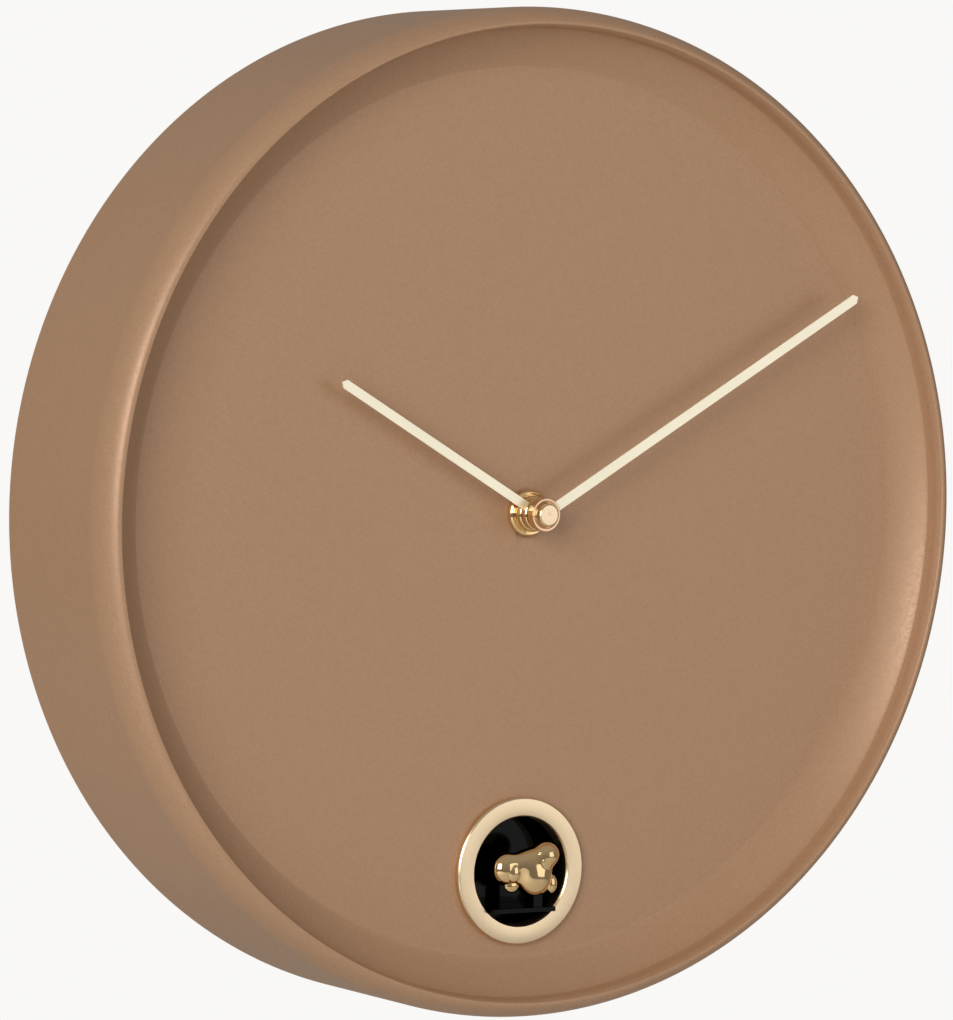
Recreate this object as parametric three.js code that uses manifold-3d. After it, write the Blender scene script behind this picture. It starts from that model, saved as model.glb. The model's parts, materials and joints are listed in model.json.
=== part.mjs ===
// A round wall clock with a pop-out cuckoo: a deep moulded case with a dial panel set flush in
// it, a quartz movement behind the dial, and a bird on a tray that a small motor slides
// through a ring-trimmed window at six o'clock.
// Frame: +Z up, the dial faces -Y, the wall plane is y = 0, the hand axis is x = z = 0.
import * as THREE from "three";
import { mergeVertices } from "three/addons/utils/BufferGeometryUtils.js";
import Module from "manifold-3d";

const wasm = await Module();
wasm.setup();

// ---- driving dimensions, millimetres ----
const CASE_RADIUS = 150;
const CREST_Y = -58.5;
const DIAL_Y = -44.2;
const DIAL_RADIUS = 132.4;
const RIM_INNER_RADIUS = 142.5;
const RIM_CREST_RADIUS = 144;
const CROWN_DEPTH = 11.5;
const CREASE_Y = CREST_Y + 6.2;
const WALL = 2.5;
const DIAL_BACK_Y = DIAL_Y + WALL;
const LEDGE_RADIUS = 130;
const LEDGE_BACK_Y = DIAL_BACK_Y + 1.5;
const COVER_FRONT_Y = -WALL;
const CASE_SIDES = 64;
const GAP = 0.05;

const BOSS_RING = 128;
const BOSS_RADIUS = 4;
const BOSS_END_Y = -6;
const COVER_SCREWS = 6;
const SCREW_RADIUS = 1.25;
const SCREW_HEAD_RADIUS = 3.2;

const WINDOW_Z = -106.9;
const RING_OUTER = 22.1;
const RING_HOLE = 16.2;
const RING_FRONT_Y = DIAL_Y - 2.1;
const SLEEVE_INNER = 16.8;
const SLEEVE_OUTER = 18.3;
const SLEEVE_END_Y = -20.5;
const TRAY_TRAVEL = 10;
const TRAY_FRONT_Y = -49.3;
const TRAY_BACK_Y = -35.6;
const TRAY_HALF_WIDTH = 10.6;
const TRAY_TOP_Z = -117.6;
const TRAY_THICK = 1.4;
const PERCH_TOP_Z = -113.8;
const RACK_TOP_Z = -83.5;

const MOVEMENT_HALF = 28;
const MOVEMENT_FRONT_Y = -40.6;
const MOVEMENT_REAR_Y = -24.1;
const MOVEMENT_WALL = 1.5;
const HOUR_LENGTH = 79;
const MINUTE_LENGTH = 131;
const HOUR_ANGLE = -60.6;
const MINUTE_ANGLE = 59.6;

const COARSE_MODULE = 0.5;
const FINE_MODULE = 0.4;
const ADDENDUM = 0.3;
const DEDENDUM = 0.7;

const BAY = { x: -75, z: 0, halfX: 27, halfZ: 15.5, floorY: -17.5 };
const CELL = { radius: 7.1, nubRadius: 2.7, length: 50.2, y: -9.6, offset: 7.5 };
const DOOR = { halfX: 28.5, halfZ: 17, y: -1.9, thick: 1.6 };
const SWITCH = { x: 70, z: 34, travel: 4 };
const BUTTON = { x: 70, z: 8, radius: 3, travel: 1.2 };
const SPEAKER = { x: 74, z: -42, radius: 18 };
const HANGER = { z: 112, halfX: 24, halfZ: 11, frontY: -3.8, thick: 1.25, screws: [-19, 19] };
const KEYHOLE = { head: 4.6, neck: 2.3, drop: 4 };
const CUP = { radius: 4, wall: 1.5, floorY: -3.6, screwHole: 1.7 };
const KNOB_WELL = { radius: 11, wall: 1.5, floorY: -7.5, hole: 2.5 };
const SLOTS = { pitch: 5.6, halfHeight: 1.2, radius: 14, each: 2 };
const DOOR_PIN = { y: -0.9, radius: 0.5, reach: 1.1, barrel: 0.8 };
const THROUGH = [-5, 1];

// ---- finishes ----
const finish = (color, roughness, metalness) =>
  new THREE.MeshStandardMaterial({ color, roughness, metalness });
const CASE_PAINT = finish(0xa38064, 0.5, 0.1);
const BLACK_MOULDING = finish(0x1c1b1a, 0.55, 0);
const BLACK_GLOSS = finish(0x070707, 0.1, 0);
const POLISHED_GOLD = finish(0xe0ad62, 0.12, 1);
const SATIN_GOLD = finish(0xd9bd97, 0.35, 1);
const HAND_GOLD = finish(0xf3e2c0, 0.4, 0.6);
const STEEL = finish(0xb5b7ba, 0.35, 1);
const WHITE_GEAR = finish(0xe8e6df, 0.5, 0);
const COPPER = finish(0xb5652f, 0.4, 0.8);
const BOARD_GREEN = finish(0x2d5a3c, 0.5, 0);
const RUBBER = finish(0x222222, 0.9, 0);
const PAPER_CONE = finish(0x333230, 0.95, 0);

// ---- solids ----
// A closed three.js geometry as a solid: shared corners merged, faces turned outwards.
function solid(geometry) {
  const bare = geometry.index ? geometry.toNonIndexed() : geometry;
  bare.deleteAttribute("normal");
  bare.deleteAttribute("uv");
  const merged = mergeVertices(bare, 1e-4);
  const corner = merged.attributes.position.array;
  const index = merged.index.array;
  const faces = [];
  let volume = 0;
  for (let i = 0; i < index.length; i += 3) {
    const [a, b, c] = [index[i], index[i + 1], index[i + 2]];
    if (a === b || b === c || c === a) continue;
    faces.push(a, b, c);
    const [p, q, r] = [a, b, c].map((n) => new THREE.Vector3().fromArray(corner, 3 * n));
    volume += p.dot(q.cross(r));
  }
  if (volume < 0) faces.reverse();
  const mesh = new wasm.Mesh({
    numProp: 3,
    vertProperties: new Float32Array(corner),
    triVerts: new Uint32Array(faces),
  });
  return new wasm.Manifold(mesh);
}

const join = (first, ...others) => others.reduce((sum, part) => sum.add(part), first);
const cut = (first, ...others) => others.reduce((rest, part) => rest.subtract(part), first);

const box = (x0, x1, y0, y1, z0, z1) => {
  const block = new THREE.BoxGeometry(x1 - x0, y1 - y0, z1 - z0);
  return solid(block.translate((x0 + x1) / 2, (y0 + y1) / 2, (z0 + z1) / 2));
};

// A box about (x, z), given by its half sizes.
const boxAbout = (x, z, halfX, halfZ, y0, y1) => box(x - halfX, x + halfX, y0, y1, z - halfZ, z + halfZ);

const rodY = (x, z, radius, y0, y1, sides = 20) => {
  const rod = new THREE.CylinderGeometry(radius, radius, y1 - y0, sides);
  return solid(rod.translate(x, (y0 + y1) / 2, z));
};

const rodX = (y, z, radius, x0, x1, sides = 20) => {
  const rod = new THREE.CylinderGeometry(radius, radius, x1 - x0, sides);
  return solid(rod.rotateZ(Math.PI / 2).translate((x0 + x1) / 2, y, z));
};

// A turned piece about an axis along Y through (x, z); the outline closes on itself.
const turned = (outline, x = 0, z = 0, sides = 48) => {
  const points = [...outline, outline[0]].map(([r, y]) => new THREE.Vector2(r, y));
  return solid(new THREE.LatheGeometry(points, sides).translate(x, 0, z));
};

// A flat outline in X and Z, given thickness from y0 to y1.
const plate = (shape, y0, y1) => {
  const slab = new THREE.ExtrudeGeometry(shape, { depth: y1 - y0, bevelEnabled: false, curveSegments: 6 });
  return solid(slab.rotateX(Math.PI / 2).translate(0, y1, 0));
};

const outlineOf = (points) => new THREE.Shape(points.map(([x, z]) => new THREE.Vector2(x, z)));
const arc = (cx, cy, rx, ry, from, to, steps) => Array.from({ length: steps + 1 }, (_, i) => {
  const t = THREE.MathUtils.degToRad(from + ((to - from) * i) / steps);
  return [cx + rx * Math.cos(t), cy + ry * Math.sin(t)];
});
const polar = ([x, z], distance, degrees) => {
  const t = THREE.MathUtils.degToRad(degrees);
  return [x + distance * Math.cos(t), z + distance * Math.sin(t)];
};

const clock = new THREE.Group();
clock.name = "cuckoo_wall_clock";

function place(name, body, material) {
  const { vertProperties, triVerts } = body.getMesh();
  const geometry = new THREE.BufferGeometry();
  geometry.setAttribute("position", new THREE.BufferAttribute(new Float32Array(vertProperties), 3));
  geometry.setIndex(new THREE.BufferAttribute(new Uint32Array(triVerts), 1));
  geometry.computeVertexNormals();
  const mesh = new THREE.Mesh(geometry, material);
  mesh.name = name;
  clock.add(mesh);
}

// ---- gears ----
// Short straight teeth, so that two wheels running tip to tip never touch.
const tipRadius = (teeth, module) => module * (teeth / 2 + ADDENDUM);
const meshDistance = (a, b, module) => tipRadius(a, module) + tipRadius(b, module) + 0.04;

function gearOutline(teeth, module) {
  const tip = tipRadius(teeth, module);
  const root = module * (teeth / 2 - DEDENDUM);
  const pitch = (2 * Math.PI) / teeth;
  const fineTooth = [[0, tip], [0.5, root]];
  const fullTooth = [[-0.12, tip], [0.12, tip], [0.34, root], [0.66, root]];
  const corners = teeth > 20 ? fineTooth : fullTooth;
  const points = [];
  for (let i = 0; i < teeth; i += 1) {
    for (const [part, radius] of corners) {
      const angle = (i + part) * pitch;
      points.push([radius * Math.cos(angle), radius * Math.sin(angle)]);
    }
  }
  return points;
}

function gear([x, z], teeth, module, y0, y1) {
  const points = gearOutline(teeth, module).map(([u, v]) => [x + u, z + v]);
  return plate(outlineOf(points), y0, y1);
}

const gearAboutX = (y, z, teeth, module, x0, x1) => {
  const slab = new THREE.ExtrudeGeometry(outlineOf(gearOutline(teeth, module)), {
    depth: x1 - x0,
    bevelEnabled: false,
  });
  return solid(slab.rotateY(Math.PI / 2).translate(x0, y, z));
};

// ---- case ----
const bossAngles = Array.from({ length: COVER_SCREWS }, (_, i) => (360 / COVER_SCREWS) * i);
const bossSpots = bossAngles.map((angle) => polar([0, 0], BOSS_RING, angle));
const BRACKET_SCREWS = [[-12, -62], [-12, -80]];
const BRACKET_Y = -38.5;

// Cove, rim and side wall are one moulding, with a ledge behind the foot of the cove.
function frontShell() {
  const coveX = RIM_INNER_RADIUS - DIAL_RADIUS;
  const coveY = DIAL_Y - CREASE_Y;
  const outer = [
    ...arc(DIAL_RADIUS, CREASE_Y, coveX, coveY, 90, 0, 4),
    [RIM_INNER_RADIUS + 0.3, CREST_Y + 3],
    ...arc(RIM_CREST_RADIUS, CREST_Y + 3, RIM_CREST_RADIUS - RIM_INNER_RADIUS - 0.6, 3, -140, -90, 1),
    ...arc(RIM_CREST_RADIUS, CREST_Y + CROWN_DEPTH, CASE_RADIUS - RIM_CREST_RADIUS, CROWN_DEPTH, -60, 0, 2),
    [CASE_RADIUS, 0],
  ];
  const inner = [
    [CASE_RADIUS - WALL, 0],
    [CASE_RADIUS - WALL, CREST_Y + 9],
    [RIM_CREST_RADIUS + 0.9, CREST_Y + 3.4],
    [RIM_INNER_RADIUS + WALL, CREST_Y + 4.2],
    ...arc(DIAL_RADIUS, CREASE_Y, coveX + WALL, coveY + WALL, 0, 60, 2),
    [DIAL_RADIUS + WALL, LEDGE_BACK_Y],
    [LEDGE_RADIUS, LEDGE_BACK_Y],
    [LEDGE_RADIUS, DIAL_BACK_Y + GAP],
    [DIAL_RADIUS, DIAL_BACK_Y + GAP],
  ];
  const notches = bossSpots.map(([x, z]) => rodY(x, z, BOSS_RADIUS + 0.3, DIAL_BACK_Y, BOSS_END_Y, 12));
  return cut(turned([...outer, ...inner], 0, 0, CASE_SIDES), ...notches);
}

// The dial rests on the ledge; its bosses take the cover screws, which clamp the case together.
function dialPanel() {
  let panel = rodY(0, 0, DIAL_RADIUS - GAP, DIAL_Y, DIAL_BACK_Y, CASE_SIDES);
  for (const [x, z] of bossSpots) {
    panel = panel.add(rodY(x, z, BOSS_RADIUS, DIAL_BACK_Y - 1, BOSS_END_Y - GAP, 12));
    panel = panel.subtract(rodY(x, z, SCREW_RADIUS + 0.15, -20, 0, 8));
  }
  for (const [x, z] of BRACKET_SCREWS) {
    panel = panel.add(rodY(x, z, 3, DIAL_BACK_Y - 1, BRACKET_Y - GAP, 10));
    panel = panel.subtract(rodY(x, z, 1.05, DIAL_BACK_Y - 0.8, 0, 8));
  }
  panel = panel.subtract(rodY(0, 0, SHAFT_HOLE, CREST_Y, 0, 16));
  return panel.subtract(rodY(0, WINDOW_Z, SLEEVE_INNER + 0.6, CREST_Y, -30, 40));
}

function trimRing() {
  const bevel = 0.35;
  return turned([
    [RING_HOLE + bevel, RING_FRONT_Y],
    [RING_OUTER - bevel, RING_FRONT_Y],
    [RING_OUTER, RING_FRONT_Y + bevel],
    [RING_OUTER, DIAL_Y - GAP],
    [RING_HOLE + 1, DIAL_Y - GAP],
    [RING_HOLE + 1, DIAL_BACK_Y],
    [RING_HOLE, DIAL_BACK_Y],
    [RING_HOLE, RING_FRONT_Y + bevel],
  ], 0, WINDOW_Z, 40);
}

// What stands up inside the cover: screw cups, battery bay and knob well.
function coverBosses() {
  const { x, z, halfX, halfZ, floorY } = BAY;
  const bayWall = 1.5;
  const rootY = -1;
  return [
    ...bossSpots.map(([sx, sz]) => rodY(sx, sz, CUP.radius + CUP.wall, BOSS_END_Y + GAP, rootY, 12)),
    boxAbout(x, z, halfX + bayWall, halfZ + bayWall, floorY - bayWall, rootY),
    rodY(KNOB[0], KNOB[1], KNOB_WELL.radius + KNOB_WELL.wall, KNOB_WELL.floorY - KNOB_WELL.wall, rootY, 24),
  ];
}

// The battery bay with the step its lid lies on and the groove its hinge turns in.
function bayHollows() {
  const { x, z, halfX, halfZ, floorY } = BAY;
  const play = 0.3;
  const outside = THROUGH[1];
  return [
    boxAbout(x, z, halfX, halfZ, floorY, outside),
    boxAbout(x, z, DOOR.halfX + play, DOOR.halfZ + play, DOOR.y - 0.1, outside),
    rodX(DOOR_PIN.y, DOOR_HINGE_Z, DOOR_PIN.radius + 0.25,
      x - DOOR.halfX - DOOR_PIN.reach - play, x + DOOR.halfX + DOOR_PIN.reach + play, 12),
  ];
}

// Holes for the screws, the knob, the switch, the button and the hanger, and the speaker slots.
function coverHoles() {
  const outside = THROUGH[1];
  const hangerHole = 1.3;
  const hangerCup = 2.8;
  const rows = Array.from({ length: 2 * SLOTS.each + 1 }, (_, i) => (i - SLOTS.each) * SLOTS.pitch);
  const slots = rows.map((rise) => {
    const half = Math.sqrt(SLOTS.radius ** 2 - rise ** 2) - 1;
    return boxAbout(SPEAKER.x, SPEAKER.z + rise, half, SLOTS.halfHeight, ...THROUGH);
  });
  return [
    ...bossSpots.map(([sx, sz]) => rodY(sx, sz, CUP.radius, CUP.floorY, outside, 12)),
    ...bossSpots.map(([sx, sz]) => rodY(sx, sz, CUP.screwHole, BOSS_END_Y - 4, outside, 8)),
    rodY(KNOB[0], KNOB[1], KNOB_WELL.radius, KNOB_WELL.floorY, outside, 24),
    rodY(KNOB[0], KNOB[1], KNOB_WELL.hole, KNOB_WELL.floorY - 2.5, outside, 12),
    boxAbout(SWITCH.x, SWITCH.z, SWITCH.travel + 3, 2.6, ...THROUGH),
    rodY(BUTTON.x, BUTTON.z, BUTTON.radius + 0.4, ...THROUGH, 16),
    boxAbout(0, HANGER.z, HANGER.halfX / 2, HANGER.halfZ - 2, ...THROUGH),
    ...HANGER.screws.map((sx) => rodY(sx, HANGER.z, hangerHole, ...THROUGH, 12)),
    ...HANGER.screws.map((sx) => rodY(sx, HANGER.z, hangerCup, -1.4, outside, 12)),
    ...slots,
  ];
}

function backCover() {
  const disc = rodY(0, 0, CASE_RADIUS - WALL - 0.4, COVER_FRONT_Y, 0, CASE_SIDES);
  return cut(join(disc, ...coverBosses()), ...bayHollows(), ...coverHoles());
}

// Steel plate behind the opening at twelve o'clock, with a keyhole for the wall screw.
function hangerPlate() {
  const { z, halfX, halfZ, frontY, thick, screws } = HANGER;
  const { head, neck, drop } = KEYHOLE;
  return cut(
    boxAbout(0, z, halfX, halfZ, frontY, frontY + thick),
    rodY(0, z - drop, head, ...THROUGH, 24),
    boxAbout(0, z, neck, drop, ...THROUGH),
    rodY(0, z + drop, neck, ...THROUGH, 16),
    ...screws.map((sx) => rodY(sx, z, 1.3, ...THROUGH, 12)),
  );
}

function screwAlongY([x, z], headRadius, radius, headY, tipY, headThick) {
  const head = rodY(x, z, headRadius, headY, headY + headThick, 12);
  const reach = headRadius * 0.6;
  const slotY = headY + headThick - 0.7;
  const drive = join(
    box(x - reach, x + reach, slotY, headY + 5, z - 0.35, z + 0.35),
    box(x - 0.35, x + 0.35, slotY, headY + 5, z - reach, z + reach),
  );
  return cut(join(head, rodY(x, z, radius, tipY, headY + 0.2, 8)), drive);
}

function caseParts() {
  place("front_shell", frontShell(), CASE_PAINT);
  place("dial_panel", dialPanel(), CASE_PAINT);
  place("back_cover", backCover(), BLACK_MOULDING);
  place("trim_ring", trimRing(), SATIN_GOLD);
  place("hanger_plate", hangerPlate(), STEEL);
  HANGER.screws.forEach((x, i) => {
    place(`hanger_screw_${i + 1}`, screwAlongY([x, HANGER.z], 2.4, 1.2, -1.35, -8, 1.2), STEEL);
  });
  bossSpots.forEach((spot, i) => {
    const screw = screwAlongY(spot, SCREW_HEAD_RADIUS, SCREW_RADIUS, -3.5, -16, 1.8);
    place(`cover_screw_${i + 1}`, screw, STEEL);
  });
}

// ---- batteries ----
const DOOR_HINGE_Z = BAY.z - DOOR.halfZ + DOOR_PIN.barrel;

function cell(z, nubAt) {
  const { radius, length, y, nubRadius } = CELL;
  const end = length / 2;
  const can = rodX(y, z, radius, BAY.x - end + 1, BAY.x + end - 1, 20);
  const nub = rodX(y, z, nubRadius, BAY.x + Math.min(0, nubAt * end), BAY.x + Math.max(0, nubAt * end), 10);
  return can.add(nub);
}

// Lid with a finger catch at its top edge and two pivot pins at its bottom edge.
function batteryDoor() {
  const { x, z } = BAY;
  const { halfX, halfZ, y, thick } = DOOR;
  const pinEnd = halfX + DOOR_PIN.reach;
  const lid = join(
    box(x - halfX, x + halfX, y, y + thick, DOOR_HINGE_Z, z + halfZ),
    rodX(DOOR_PIN.y, DOOR_HINGE_Z, DOOR_PIN.barrel, x - halfX, x + halfX, 12),
    rodX(DOOR_PIN.y, DOOR_HINGE_Z, DOOR_PIN.radius, x - pinEnd, x + pinEnd, 10),
    box(x - 6, x + 6, y - 1.4, y + 0.2, z + halfZ - 4.2, z + halfZ - 2.8),
  );
  const ribs = [-1.6, 0, 1.6].map((dx) => (
    box(x + dx * 4 - 1.2, x + dx * 4 + 1.2, y + thick - 0.5, 1, z + halfZ - 7, z + halfZ - 3)));
  return cut(lid, ...ribs);
}

function batteryParts() {
  const { x, halfX } = BAY;
  const sheet = 0.5;
  const jacket = finish(0x30343a, 0.35, 0.4);
  const height = [-15, -4];
  place("battery_cell_1", cell(CELL.offset, 1), jacket);
  place("battery_cell_2", cell(-CELL.offset, -1), jacket);
  const right = x + halfX - 0.3;
  const left = x - halfX + 0.3;
  place("battery_contact_link", box(right - sheet, right, ...height, -12, 12), STEEL);
  place("battery_terminal_1", box(left, left + sheet, ...height, 2.5, 12), STEEL);
  place("battery_terminal_2", box(left, left + sheet, ...height, -12, -2.5), STEEL);
  place("battery_door", batteryDoor(), BLACK_MOULDING);
}

// ---- sound unit ----
const BOARD = { y: -11, thick: 1.6, x0: 48, x1: 96, z0: -6, z1: 50 };

function speakerBasket() {
  const { x, z, radius } = SPEAKER;
  return turned([
    [radius, -2.6], [radius, -4.4], [radius - 3, -4.6], [9, -9.5], [9, -15], [0, -15],
    [0, -13.5], [7, -13.5], [7, -8.8], [radius - 4.2, -3.8], [radius - 2.4, -3.4], [radius - 2.4, -2.6],
  ], x, z, 24);
}

function speakerCone() {
  const { x, z, radius } = SPEAKER;
  return turned([
    [radius - 2.8, -2.8], [radius - 4.4, -3.3], [6, -8], [0, -7],
    [0, -6.3], [5.6, -7.2], [radius - 4.4, -2.8], [radius - 3.6, -2.65],
  ], x, z, 24);
}

function soundParts() {
  const { x, z } = SWITCH;
  place("speaker_basket", speakerBasket(), STEEL);
  place("speaker_cone", speakerCone(), PAPER_CONE);
  const { y, thick, x0, x1, z0, z1 } = BOARD;
  place("sound_board", box(x0, x1, y, y + thick, z0, z1), BOARD_GREEN);
  const base = y + thick + GAP;
  place("slide_switch_body", boxAbout(x, z, 9, 4, base, -4.2), STEEL);
  place("push_switch_body", boxAbout(BUTTON.x, BUTTON.z, 4, 4, base, -4.9), BLACK_GLOSS);
  place("sound_chip", boxAbout(84, 20, 6, 6, base, base + 2), BLACK_GLOSS);
  const slider = join(boxAbout(x, z, 8.5, 4, -3.6, -2.8), boxAbout(x, z, 2.4, 2.3, -3, -0.3));
  const grips = [-1.2, 0, 1.2].map((dx) => boxAbout(x + dx, z, 0.25, 3, -0.8, 1));
  place("volume_slider", cut(slider, ...grips), WHITE_GEAR);
  const cap = rodY(BUTTON.x, BUTTON.z, BUTTON.radius, -3.2, -0.2);
  const flange = rodY(BUTTON.x, BUTTON.z, BUTTON.radius + 1.2, -3.5, -2.8);
  place("test_button", cap.add(flange), WHITE_GEAR);
}

// ---- quartz movement ----
const TEETH = { cannon: 10, motion: 30, motionPinion: 8, hour: 32, knob: 10 };
const TRAIN = { pinion: 6, centre: 48, third: 45, seconds: 36, step: 40, rotor: 8 };
const HAND_AXIS = [0, 0];
const MOTION = polar(HAND_AXIS, meshDistance(TEETH.cannon, TEETH.motion, COARSE_MODULE), -60);
const KNOB = polar(MOTION, meshDistance(TEETH.knob, TEETH.motion, COARSE_MODULE), -60);
const THIRD = polar(HAND_AXIS, meshDistance(TRAIN.centre, TRAIN.pinion, FINE_MODULE), 150);
const SECONDS = polar(THIRD, meshDistance(TRAIN.third, TRAIN.pinion, FINE_MODULE), 20);
const STEP = polar(SECONDS, meshDistance(TRAIN.seconds, TRAIN.pinion, FINE_MODULE), 60);
const ROTOR = polar(STEP, meshDistance(TRAIN.step, TRAIN.rotor, FINE_MODULE), 0);
const ARBOR = 0.6;

// Height range along y of every wheel, from the dial side to the movement's cover.
const AT = {
  cannon: [-37, -35.6],
  motion: [-36.8, -35.8],
  motionPinion: [-38.8, -36.7],
  hour: [-38.6, -37.4],
  centre: [-34.6, -33.8],
  rotorPinion: [-28.7, -27.7],
  magnet: [-33.2, -30.8],
};
const THIRD_AT = { wheel: -32.6, pinion: -34.7, arbor: [-38.5, -24.5] };
const SECONDS_AT = { wheel: -30.6, pinion: -32.7, arbor: [-33.3, -24.5] };
const STEP_AT = { wheel: -28.6, pinion: -30.7, arbor: [-31.2, -24.5] };

const SHAFT_HOLE = 3.95;
const BUSH = { outer: 3.75, root: 3.4, bore: 2.55, backY: -39.2, frontY: -47.4, pitch: 1.6 };
const NUT = { flange: 6.9, collar: 5.4, crown: 5, bore: 2.6, seatY: -47.5 };
const HOUR = { y: -50.6, width: 2.8, hub: 5, bore: 2.45, backY: -49.2, frontY: -51.4 };
const MINUTE = { y: -54.3, width: 3, hub: 4.85, bore: 1.5, backY: -51.7 };
const CAP = { disc: 4.95, boss: 3.3, frontY: -56.7, insideY: -55.4 };
const HAND_THICK = 0.6;
const MINUTE_SHAFT = 1.4;
const HOUR_PIPE = { outer: 2.3, bore: 1.7, frontY: -50.9 };
const EDGE = 0.3;

function movementCase() {
  const half = MOVEMENT_HALF;
  const inner = half - MOVEMENT_WALL;
  return cut(
    box(-half, half, MOVEMENT_FRONT_Y, MOVEMENT_REAR_Y, -half, half),
    box(-inner, inner, MOVEMENT_FRONT_Y + MOVEMENT_WALL, 0, -inner, inner),
    rodY(0, 0, SHAFT_HOLE, MOVEMENT_FRONT_Y - 1, 0, 16),
  );
}

function movementCover() {
  const half = MOVEMENT_HALF;
  const lid = box(-half, half, MOVEMENT_REAR_Y + GAP, MOVEMENT_REAR_Y + 1.55, -half, half);
  return cut(lid, rodY(KNOB[0], KNOB[1], 2.3, -30, 0));
}

// Threaded bush, pressed into the movement's front plate and clamped by the nut on the dial.
function threadedBush() {
  const { outer, root, bore, backY, frontY, pitch } = BUSH;
  const threads = [];
  for (let y = DIAL_BACK_Y - 0.1; y > frontY + pitch / 2; y -= pitch) {
    threads.push([outer, y], [root, y - pitch / 2]);
  }
  return turned([[bore, backY], [outer, backY], ...threads, [outer, frontY], [bore, frontY]], 0, 0, 16);
}

function dialNut() {
  const { flange, collar, crown, bore, seatY } = NUT;
  const flangeY = DIAL_Y - 2.3;
  const crownY = DIAL_Y - 4.7;
  return turned([
    [SHAFT_HOLE, DIAL_Y - GAP], [flange - EDGE, DIAL_Y - GAP], [flange, DIAL_Y - 0.5],
    [flange, flangeY + 0.6], [flange - 0.6, flangeY], [collar, flangeY], [collar, crownY + 0.4],
    [crown, crownY], [bore, crownY], [bore, seatY], [SHAFT_HOLE, seatY],
  ], 0, 0, 28);
}

// A straight strip with a house-shaped tip, turned clockwise from twelve by the given angle.
function handStrip(length, width, degrees, y) {
  const half = width / 2;
  const slope = half * 0.9;
  const shoulder = length - slope;
  const strip = outlineOf([[-half, 0], [half, 0], [half, shoulder], [0, length], [-half, shoulder]]);
  const slab = new THREE.ExtrudeGeometry(strip, { depth: HAND_THICK, bevelEnabled: false });
  slab.rotateX(Math.PI / 2).translate(0, y + HAND_THICK, 0);
  return solid(slab.rotateY(THREE.MathUtils.degToRad(degrees)));
}

function hourHand() {
  const { y, width, hub, bore, backY, frontY } = HOUR;
  const boss = turned([
    [bore, backY], [hub - EDGE, backY], [hub, backY - EDGE], [hub, frontY + EDGE], [hub - EDGE, frontY],
    [bore, frontY],
  ], 0, 0, 28);
  const strip = handStrip(HOUR_LENGTH, width, HOUR_ANGLE, y);
  return join(boss, cut(strip, rodY(0, 0, bore + 0.5, CREST_Y, 0, 12)));
}

function minuteHand() {
  const { y, width, hub, bore, backY } = MINUTE;
  const boss = turned([
    [bore, backY], [hub - EDGE, backY], [hub, backY - EDGE], [hub, y], [bore, y],
  ], 0, 0, 28);
  const strip = handStrip(MINUTE_LENGTH, width, MINUTE_ANGLE, y);
  return join(boss, cut(strip, rodY(0, 0, bore + 1, CREST_Y, 0, 12)));
}

function handCap() {
  const { disc, boss, frontY, insideY } = CAP;
  const back = MINUTE.y - GAP;
  return turned([
    [MINUTE.bore, back], [disc, back], [disc, back - 0.5], [disc - EDGE, back - 0.7], [boss, back - EDGE],
    [boss, frontY + 0.2], [boss - 0.2, frontY], [0, frontY], [0, insideY], [MINUTE.bore, insideY],
  ], 0, 0, 28);
}

function minuteArbor() {
  return join(
    rodY(0, 0, MINUTE_SHAFT, -55.2, -35.2, 12),
    gear(HAND_AXIS, TEETH.cannon, COARSE_MODULE, ...AT.cannon),
  );
}

function hourWheel() {
  const { outer, bore, frontY } = HOUR_PIPE;
  const wheel = gear(HAND_AXIS, TEETH.hour, COARSE_MODULE, ...AT.hour);
  return cut(join(wheel, rodY(0, 0, outer, frontY, -37.5, 16)), rodY(0, 0, bore, CREST_Y, 0, 16));
}

// A wheel and its pinion on one arbor.
function wheelAndPinion(axis, wheelTeeth, { wheel, pinion, arbor }) {
  return join(
    gear(axis, wheelTeeth, FINE_MODULE, wheel, wheel + 0.8),
    gear(axis, TRAIN.pinion, FINE_MODULE, pinion, pinion + 1),
    rodY(...axis, ARBOR, ...arbor, 8),
  );
}

function rotor() {
  const [x, z] = ROTOR;
  return join(
    rodY(x, z, 3.2, ...AT.magnet, 16),
    gear(ROTOR, TRAIN.rotor, FINE_MODULE, ...AT.rotorPinion),
    rodY(x, z, ARBOR, -38, -24.6, 8),
  );
}

function settingKnob() {
  const [x, z] = KNOB;
  const flutes = Array.from({ length: 8 }, (_, i) => polar(KNOB, 8.4, i * 45));
  return cut(
    join(
      rodY(x, z, 8, -7.1, -1.2, 24),
      rodY(x, z, 2, -37, -7, 12),
      gear(KNOB, TEETH.knob, COARSE_MODULE, ...AT.cannon),
    ),
    ...flutes.map(([fx, fz]) => rodY(fx, fz, 1, -6.3, 0, 8)),
  );
}

const STATOR_Y = -32.4;
const COIL = { x: 21.5, z0: -14, z1: 8, radius: 4, cheek: 4.7 };

// Stator lamination: a closed loop with the rotor hole in its top arm, the coil on its right leg.
function stator() {
  return cut(
    box(3.5, 23, STATOR_Y, STATOR_Y + 0.8, -25, 22),
    box(6, 20, -40, -20, -21.5, 11),
    rodY(ROTOR[0], ROTOR[1], 3.7, -40, -20, 20),
  );
}

function coil() {
  const { x, z0, z1, radius, cheek } = COIL;
  const y = STATOR_Y + 0.4;
  const lower = [[0, z0], [cheek, z0], [cheek, z0 + 1], [radius, z0 + 1]];
  const profile = [...lower, [radius, z1 - 1], [cheek, z1 - 1], [cheek, z1], [0, z1]];
  const points = [...profile, profile[0]].map(([r, h]) => new THREE.Vector2(r, h));
  const spool = solid(new THREE.LatheGeometry(points, 20).rotateX(Math.PI / 2).translate(x, y, 0));
  return cut(spool, box(x - 1.8, x + 1.8, y - 0.7, y + 0.7, z0 - 1, z1 + 1));
}

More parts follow.
